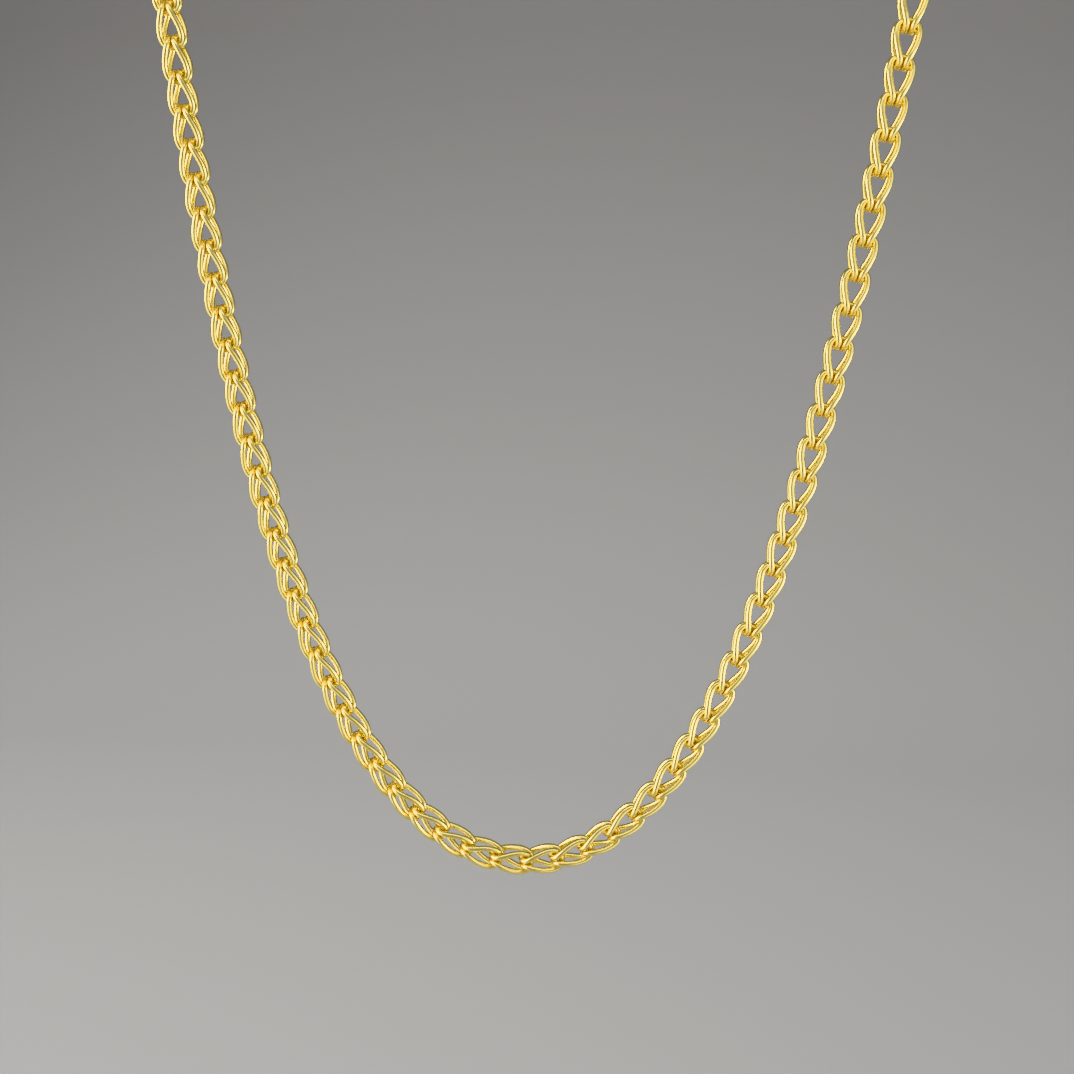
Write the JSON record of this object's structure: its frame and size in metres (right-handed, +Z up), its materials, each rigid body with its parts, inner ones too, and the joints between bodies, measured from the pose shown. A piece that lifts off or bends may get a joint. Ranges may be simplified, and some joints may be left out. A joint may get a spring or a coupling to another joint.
{
  "type": "loop-in-loop neck chain",
  "caption": "Gold neck chain of folded wire loops threaded through each other, hanging in a deep curve in front and closed behind the neck by a barrel clasp.",
  "frame": {"origin": "middle of the necklace at the nape of the neck, inside the barrel clasp, where the necklace hangs", "axes": "+Z up; the hanging front faces -Y; +X is to the right as seen from the front"},
  "size_m": [0.0994, 0.0713, 0.134],
  "materials": {
    "chain_gold": "polished high-carat yellow gold",
    "clasp_gold": "polished high-carat yellow gold"
  },
  "bodies": {
    "root": {"chain_left": "chain_gold", "chain_right": "chain_gold", "clasp": "clasp_gold"}
  },
  "joints": []
}
